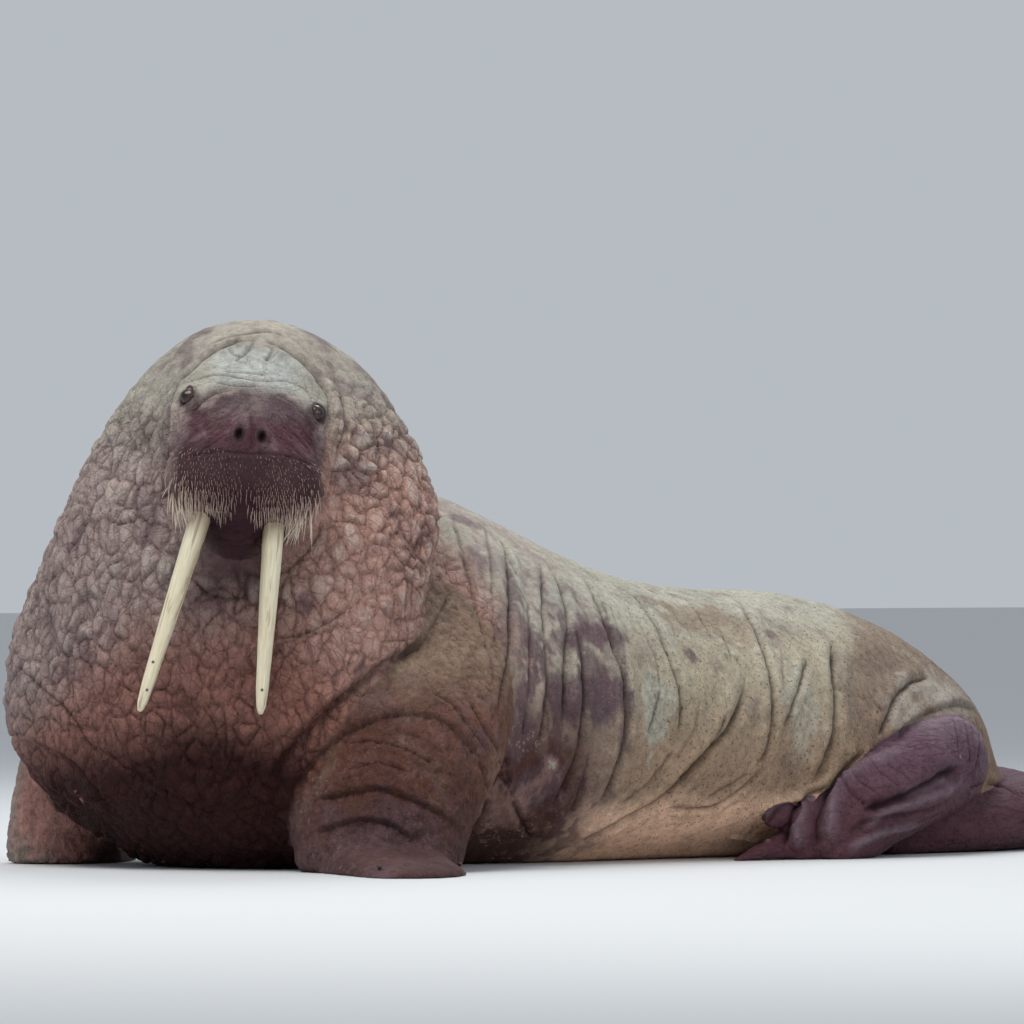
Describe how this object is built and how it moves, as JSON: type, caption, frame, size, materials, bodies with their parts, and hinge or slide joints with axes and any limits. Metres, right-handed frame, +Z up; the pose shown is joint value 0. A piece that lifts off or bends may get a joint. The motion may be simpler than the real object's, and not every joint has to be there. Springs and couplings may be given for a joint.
{
  "type": "walrus",
  "caption": "Life-size still model of an adult male walrus, lying with its front raised on the fore flippers, head turned to its left and hind flippers folded forward.",
  "frame": {"origin": "on the ground, under the flat of the belly at the middle of the trunk", "axes": "+Z up, -Y towards the head end of the trunk, +X to the animal's left"},
  "size_m": [1.5957, 2.7852, 1.1586],
  "materials": {
    "hide": "matt, deeply wrinkled short-haired hide, beige on the flanks and red-brown on the neck",
    "dark_hide": "satin, dark purple-brown naked skin",
    "eye": "wet gloss",
    "ivory": "satin ivory with fine lengthwise cracks",
    "claw": "satin horn",
    "whisker": "satin, stiff translucent cream bristle"
  },
  "bodies": {
    "root": {"rump": "hide", "torso_rear": "hide", "torso_middle": "hide", "torso_front": "hide", "chest": "hide", "neck": "hide", "head": "hide", "muzzle": "dark_hide", "lower_jaw": "dark_hide", "left_whisker_pad": "dark_hide", "right_whisker_pad": "dark_hide", "left_hind_leg": "dark_hide", "left_hind_flipper": "dark_hide", "right_hind_flipper": "dark_hide", "tail": "dark_hide", "left_arm": "hide", "right_arm": "hide", "left_fore_flipper": "hide", "right_fore_flipper": "hide", "left_eye": "eye", "right_eye": "eye", "left_tusk": "ivory", "right_tusk": "ivory", "left_claw_1": "claw", "left_claw_2": "claw", "left_claw_3": "claw", "left_claw_4": "claw", "left_claw_5": "claw", "right_claw_1": "claw", "right_claw_2": "claw", "right_claw_3": "claw", "right_claw_4": "claw", "right_claw_5": "claw"}
  },
  "joints": []
}
